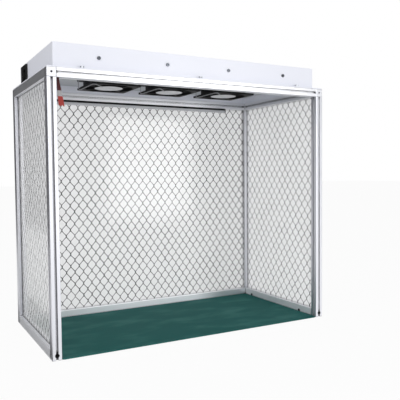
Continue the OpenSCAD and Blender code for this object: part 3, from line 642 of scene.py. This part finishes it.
@dataclass
class Ribbon(Assembly):
    """The airflow ribbon: a thin strip with bands, a gathered top, a sway and a frayed end.

    At t from 0 (top) to 1 (end) and s from 0 to 1 across, in millimetres from the upper left rear
    corner of the CAD ribbon's box,
    x = 3 t^2 + s (4 + 11 t - 3 t^2) + 0.3 t sin(9 t), kept inside the box,
    y = -0.3 - 1.5 t (1 - cos(2 pi t)) - 1.1 max(0, 1 - t / 0.7) (1 - cos(4 pi s)),
    z = -t (length - 4 t^8 fray(s)), with fray a random line from 0 to 1 with 13 points.

    The photograph shows no folds. The last term of y makes two, which bring the strip's area nearer
    to its declared flat size. A tapered cut, with flat=(0.012, 0.061) and area=0.00052, needs none.
    """

    columns: int = 25
    rows: int = 61

    def build(self) -> None:
        """Makes the strip inside the CAD ribbon's box."""
        low, high = (np.array(p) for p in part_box("airflow_ribbon"))
        s, t = np.meshgrid(np.linspace(0, 1, self.columns), np.linspace(0, 1, self.rows))
        width = (4 + 11 * t - 3 * t**2) * MM
        left = low[0] + 3 * MM * t**2
        rng = np.random.default_rng(7)
        knots = np.linspace(0, 1, 13)
        fray = np.interp(s[0], knots, rng.uniform(0, 1, 13))
        x = np.clip(left + s * width + 0.3 * MM * np.sin(9 * t) * t, low[0], high[0])
        sway = 1.5 * MM * (1 - np.cos(2 * np.pi * t)) * t
        folds = 1.1 * MM * np.clip(1 - t / 0.7, 0, 1) * (1 - np.cos(4 * np.pi * s))
        y = high[1] - 0.3 * MM - sway - folds
        z = high[2] - t * (high[2] - low[2] - 4 * MM * fray[None, :] * t**8)
        strip = grid_mesh("airflow_ribbon_strip", np.stack([x, y, z], axis=-1), uv="ribbon")
        self.shop.paint(strip, RibbonCloth())
        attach(strip, "hood")
        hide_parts("airflow_ribbon")
        self.count += 1
        self.report()


# ---------------------------------------------------------------- studio


@dataclass
class Studio:
    """Camera, floor, world and lamps.

    The pose is the photograph's fitted pinhole: place in metres, angles in radians, lens and sensor
    in millimetres. ambient is the world's strength for scattered light, and glow the share of the
    floor's white that is its own where a camera or a mirror sees it.
    """

    place: tuple[float, float, float] = (-0.6182, -1.2821, 0.3716)
    yaw: float = 0.502578
    pitch: float = -0.0455577
    roll: float = -0.0091655
    lens: float = 50.14
    sensor: float = 36.0
    floor_size: float = 40.0
    ambient: float = 0.57
    glow: float = 0.93

    def camera(self) -> None:
        """Puts the camera where the fitted pinhole stands, looking along its fitted angles."""
        cy, sy = math.cos(self.yaw), math.sin(self.yaw)
        cp, sp = math.cos(self.pitch), math.sin(self.pitch)
        ahead = np.array([sy * cp, cy * cp, sp])
        right = np.array([cy, -sy, 0.0])
        up = np.cross(right, ahead)
        c, s = math.cos(self.roll), math.sin(self.roll)
        right, up = c * right + s * up, -s * right + c * up
        data = bpy.data.cameras.new("camera")
        data.lens, data.sensor_width = self.lens, self.sensor
        data.clip_start, data.clip_end = 0.02, 60.0
        obj = bpy.data.objects.new("camera", data)
        obj.matrix_world = aimed(self.place, ahead, right, up)
        bpy.context.scene.collection.objects.link(obj)
        bpy.context.scene.camera = obj

    def world(self) -> None:
        """White where a camera, glossy or transmitted ray ends; softer for diffuse light."""
        world = bpy.data.worlds.new("studio")
        world.use_nodes = True
        bpy.context.scene.world = world
        g = Graph(world.node_tree)
        strength = g.math("MULTIPLY_ADD", g.seen(), 1.0 - self.ambient, self.ambient)
        light = g.add("Background", {"Color": WHITE, "Strength": strength})
        g.finish(light, "OutputWorld")

    def floor(self) -> None:
        """A wide white floor that keeps a soft shadow, half a millimetre under the bench plane."""
        r, z = self.floor_size / 2, -0.5 * MM
        floor = grid_mesh("floor", np.array([[[x, y, z] for x in (-r, r)] for y in (-r, r)]))
        material, g = new_material("white floor")
        matt = g.add("BsdfDiffuse", {"Color": (0.9, 0.9, 0.9, 1.0)})
        light = g.add("Emission", {"Color": WHITE, "Strength": 1.0})
        white = g.math("MULTIPLY", g.seen(), self.glow)
        g.finish(g.add("MixShader", {0: white, 1: matt.outputs[0], 2: light.outputs[0]}))
        floor.data.materials.append(material)

    def flag(self, name: str, corners: list[list[float]], grey: float) -> None:
        """A grey panel that only mirrors see, so that metal has something darker to show.

        Args:
            name: the panel's name.
            corners: its four corners in order round it.
            grey: its brightness.
        """
        points = np.array(corners)[[0, 1, 3, 2]].reshape(2, 2, 3)
        panel = grid_mesh(name, points)
        material, g = new_material(name)
        g.finish(g.add("Emission", {"Color": (grey, grey, grey * 1.02, 1.0), "Strength": 1.0}))
        panel.data.materials.append(material)
        panel.visible_camera = panel.visible_transmission = False
        panel.visible_diffuse = panel.visible_shadow = False

    def lamp(self, name: str, place, target, size: tuple[float, float], power: float) -> None:
        """A rectangular area lamp that looks from place to target.

        Args:
            name: the lamp's name.
            place: its middle.
            target: the point that it faces.
            size: its width and height.
            power: its power in watts.
        """
        data = bpy.data.lights.new(name, "AREA")
        data.shape, data.energy = "RECTANGLE", power
        data.size, data.size_y = size
        obj = bpy.data.objects.new(name, data)
        ahead = np.subtract(target, place)
        ahead = ahead / np.linalg.norm(ahead)
        right = np.cross(ahead, [0, 0, 1])
        right = right / np.linalg.norm(right)
        obj.matrix_world = aimed(place, ahead, right, np.cross(right, ahead))
        obj.visible_camera = False
        bpy.context.scene.collection.objects.link(obj)

    def build(self) -> None:
        """Sets up the whole studio."""
        scene = bpy.context.scene
        scene.view_settings.view_transform = "Standard"
        self.camera()
        self.world()
        self.floor()
        top = 3.0
        for name, (x0, y0), (x1, y1), grey in (
            ("left flag", (-1.0, -0.5), (-0.85, 7), 0.08),
            ("right flag", (1.5, -2.5), (3.5, -0.5), 0.12),
        ):
            self.flag(name, [[x0, y0, 0], [x1, y1, 0], [x1, y1, top], [x0, y0, top]], grey)
        bench = [[-0.42, -0.3, 0], [-0.352, -0.3, 0], [-0.352, 0.6, 0], [-0.42, 0.6, 0]]
        self.flag("bench flag", bench, 0.1)
        self.lamp("key", (-1.2, -1.9, 1.2), (-0.2, 0, 0.4), (1.0, 1.2), 8.0)
        self.lamp("softbox", (1.14, -2.4, 0.57), (0, 0, 0.4), (0.65, 1.1), 17.5)
        self.lamp("side fill", (-2.4, -0.4, 0.9), (-0.35, 0, 0.3), (1.5, 1.5), 9.0)
        LOG.info("Studio: ready")


# ---------------------------------------------------------------- main


def main() -> None:
    """Builds the scene."""
    logging.basicConfig(level=logging.INFO, format="%(message)s")
    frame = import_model()
    shop = Shop()
    parts = (Frame, FilmWalls, WorkMat, FilterBox, Fans, LightBar, PowerModule, Ribbon)
    for part in parts:
        part(shop, frame["nodes"]).build()
    Studio().build()


if __name__ == "__main__":
    main()
